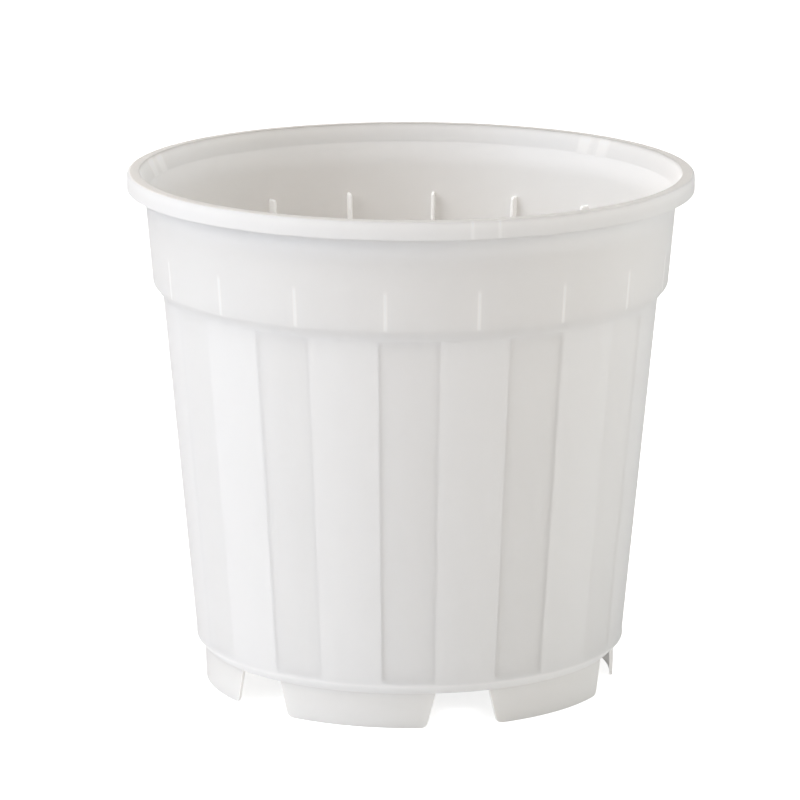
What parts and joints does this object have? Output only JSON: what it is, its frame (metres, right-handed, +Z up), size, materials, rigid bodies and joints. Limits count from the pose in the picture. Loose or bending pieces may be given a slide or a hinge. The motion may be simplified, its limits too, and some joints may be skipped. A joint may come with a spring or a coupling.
{
  "type": "orchid pot",
  "caption": "Tapered translucent plastic orchid pot with a hollow lip, stacking collar, fluted wall, drained floor and a castellated ring of feet.",
  "frame": {"origin": "on the pot's axis, in the ground plane that its feet stand on", "axes": "+Z up along the pot's axis; -Y is the front, where a gap between two feet, a raised panel, a stacking rib and a pair of lip webs line up"},
  "size_m": [0.12, 0.12, 0.11],
  "materials": {
    "translucent_plastic": "satin translucent milky-white polypropylene"
  },
  "bodies": {
    "root": {"lip": "translucent_plastic", "lip_webs": "translucent_plastic", "collar": "translucent_plastic", "stacking_ribs": "translucent_plastic", "fluted_wall": "translucent_plastic", "base": "translucent_plastic", "foot_1": "translucent_plastic", "foot_2": "translucent_plastic", "foot_3": "translucent_plastic", "foot_4": "translucent_plastic", "foot_5": "translucent_plastic", "foot_6": "translucent_plastic"}
  },
  "joints": []
}
